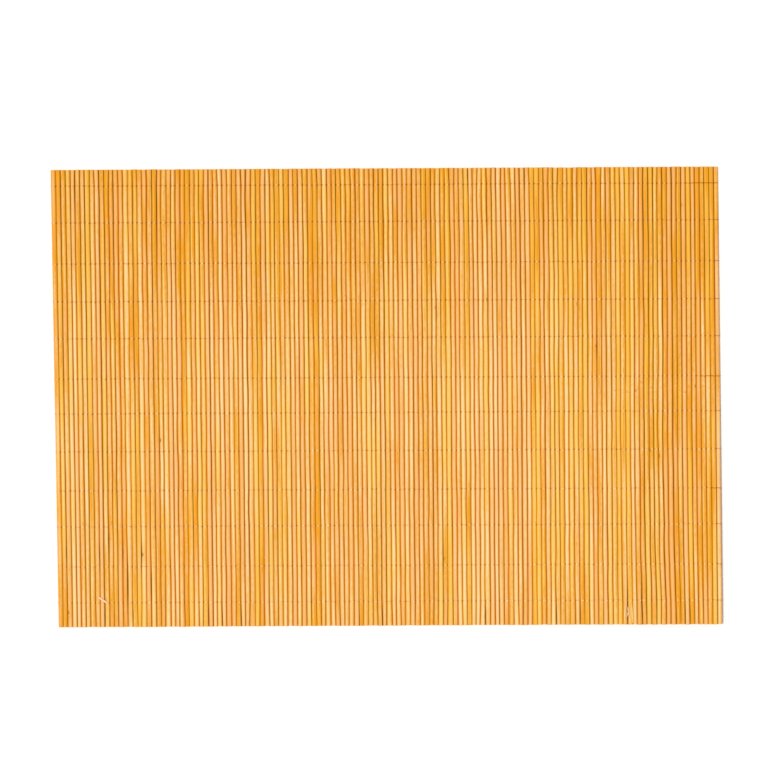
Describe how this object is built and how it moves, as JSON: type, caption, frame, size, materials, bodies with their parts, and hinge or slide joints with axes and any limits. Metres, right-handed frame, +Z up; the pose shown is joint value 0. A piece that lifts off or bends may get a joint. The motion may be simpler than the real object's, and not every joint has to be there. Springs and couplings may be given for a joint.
{
  "type": "bamboo placemat",
  "caption": "Flat rectangular placemat of slim bamboo slats laid side by side and bound by rows of twined thread.",
  "frame": {"origin": "on the surface that the mat lies on, under the middle of its outline", "axes": "+X along the thread rows (the long side), +Y along the slats towards the far edge, +Z up"},
  "size_m": [0.4437, 0.3032, 0.003],
  "materials": {
    "slat_bamboo": "smooth split bamboo with fine lengthwise fibres, satin",
    "warp_thread": "plied golden yellow cotton, matte"
  },
  "bodies": {
    "root": {"slats": "slat_bamboo", "warp_01": "warp_thread", "warp_02": "warp_thread", "warp_03": "warp_thread", "warp_04": "warp_thread", "warp_05": "warp_thread", "warp_06": "warp_thread", "warp_07": "warp_thread", "warp_08": "warp_thread", "warp_09": "warp_thread", "warp_10": "warp_thread", "warp_11": "warp_thread", "warp_12": "warp_thread"}
  },
  "joints": []
}
